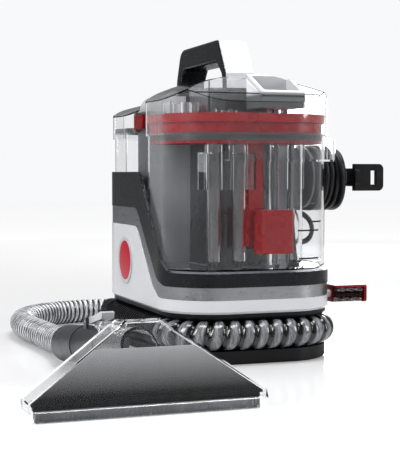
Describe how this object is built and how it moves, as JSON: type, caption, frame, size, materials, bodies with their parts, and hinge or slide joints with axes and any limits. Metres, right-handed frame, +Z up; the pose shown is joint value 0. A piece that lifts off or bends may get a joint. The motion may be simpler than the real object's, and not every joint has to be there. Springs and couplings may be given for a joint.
{
  "type": "portable spot extractor",
  "caption": "Portable carpet and upholstery spot extractor with lift-off clear tanks round a central tower, a carry handle, a cord wrap, a hose in a base channel and a fan-nozzle hand tool.",
  "frame": {"origin": "centre of the underside of the foot plate, on the floor", "axes": "+X along the body's length towards the recovery tank, +Y towards the rear side with the cord wrap, +Z up; the badge side faces -Y"},
  "size_m": [0.6195, 0.4664, 0.3389],
  "materials": {
    "black_plastic": "fine satin texture",
    "charcoal_plastic": "satin",
    "white_gloss": "gloss",
    "silver_paint": "metallic satin",
    "grey_plastic": "satin",
    "badge_red": "gloss",
    "red_plastic": "translucent gloss",
    "clear_plastic": "clear gloss",
    "pump_hose": "soft clear",
    "seal_rubber": "matt",
    "cord_rubber": "satin",
    "hose_skin": "smoky translucent ribbed",
    "bristle_dark": "bristle",
    "bristle_grey": "soft bristle",
    "board_green": "solder mask",
    "motor_steel": "zinc plated",
    "fan_metal": "machined",
    "valve_plastic": "satin"
  },
  "bodies": {
    "base": {"foot_plate": "black_plastic", "channel_core": "black_plastic", "channel_roof": "black_plastic", "hose_port": "black_plastic", "hose_sleeve": "black_plastic", "exhaust_grille": "black_plastic", "solution_pump": "black_plastic", "fan_housing": "black_plastic", "charcoal_frame": "charcoal_plastic", "handle_frame": "charcoal_plastic", "tool_handle": "charcoal_plastic", "hose_cuff": "charcoal_plastic", "white_shell": "white_gloss", "handle_cover": "white_gloss", "silver_band": "silver_paint", "tank_deck": "grey_plastic", "tower_shell": "grey_plastic", "tower_cap": "grey_plastic", "side_panel": "grey_plastic", "cord_back_plate": "grey_plastic", "cord_hub": "grey_plastic", "badge": "badge_red", "pump_tube": "pump_hose", "rubber_feet": "seal_rubber", "cord_coil": "cord_rubber", "cord_leads": "cord_rubber", "power_plug": "cord_rubber", "cord_gland": "cord_rubber", "stretch_hose": "hose_skin", "control_board": "board_green", "motor_can": "motor_steel", "base_screws": "motor_steel", "brush_peg": "valve_plastic"},
    "rotor": {"motor_rotor": "motor_steel", "fan_impeller": "fan_metal"},
    "button": {"power_button": "white_gloss"},
    "latch": {"tank_latch": "red_plastic"},
    "recovery": {"recovery_tank": "clear_plastic"},
    "recovery_cover": {"recovery_lid": "clear_plastic", "red_ring": "red_plastic", "tank_seal": "seal_rubber", "separator_plate": "clear_plastic", "lid_grip": "silver_paint", "standpipes": "clear_plastic", "separator_box": "clear_plastic", "red_duct": "red_plastic"},
    "shutoff_float": {"float_block": "red_plastic"},
    "clean": {"clean_tank": "clear_plastic"},
    "check_valve": {"clean_valve": "valve_plastic", "valve_spring": "motor_steel"},
    "clean_cover": {"clean_lid": "clear_plastic", "clean_lid_gasket": "seal_rubber"},
    "hook": {"cord_hook": "black_plastic"},
    "trigger": {"spray_trigger": "white_gloss"},
    "nozzle": {"nozzle_shell": "clear_plastic", "nozzle_panel": "charcoal_plastic", "brush_strip": "bristle_grey", "spray_tip": "clear_plastic"},
    "spare_brush": {"brush_back": "red_plastic", "brush_tufts": "bristle_dark"}
  },
  "joints": [
    {"name": "rotor_spin", "type": "hinge", "parent": "base", "child": "rotor", "pos_m": [0.03, 0, 0.037], "axis": [0, 0, 1], "continuous": true},
    {"name": "button_press", "type": "slide", "parent": "base", "child": "button", "axis": [0, 0, -1], "range_m": [0, 0.0025], "stiffness_N_per_m": 800, "springref_m": -0.0015},
    {"name": "latch_turn", "type": "hinge", "parent": "base", "child": "latch", "pos_m": [-0.015, -0.0874, 0.251], "axis": [0, 0, -1], "range_deg": [0, 12], "stiffness_Nm_per_rad": 0.4, "springref_deg": -5.73},
    {"name": "recovery_lift", "type": "slide", "parent": "base", "child": "recovery", "axis": [0, 0, 1], "range_m": [0, 0.2]},
    {"name": "recovery_cover_lift", "type": "slide", "parent": "recovery", "child": "recovery_cover", "axis": [0, 0, 1], "range_m": [0, 0.15]},
    {"name": "float_rise", "type": "slide", "parent": "recovery_cover", "child": "shutoff_float", "axis": [0, 0, 1], "range_m": [0, 0.016]},
    {"name": "clean_lift", "type": "slide", "parent": "base", "child": "clean", "axis": [0, 0, 1], "range_m": [0, 0.2]},
    {"name": "valve_open", "type": "slide", "parent": "clean", "child": "check_valve", "axis": [0, 0, 1], "range_m": [0, 0.004], "stiffness_N_per_m": 300, "springref_m": -0.002, "deforming": ["valve_spring"]},
    {"name": "clean_cover_lift", "type": "slide", "parent": "clean", "child": "clean_cover", "axis": [0, 0, 1], "range_m": [0, 0.06]},
    {"name": "hook_swing", "type": "hinge", "parent": "base", "child": "hook", "pos_m": [0.03, 0.145, 0.19], "axis": [0, 1, 0], "range_deg": [0, 180]},
    {"name": "trigger_pull", "type": "hinge", "parent": "base", "child": "trigger", "pos_m": [0.16147, -0.184, 0.05461], "axis": [0, 1, 0], "range_deg": [0, 4], "stiffness_Nm_per_rad": 0.5, "springref_deg": -5.73},
    {"name": "nozzle_pull", "type": "slide", "parent": "base", "child": "nozzle", "axis": [0.9925, 0, 0.1219], "range_m": [0, 0.05]},
    {"name": "brush_pull", "type": "slide", "parent": "base", "child": "spare_brush", "axis": [0, 1, 0], "range_m": [0, 0.035]}
  ]
}
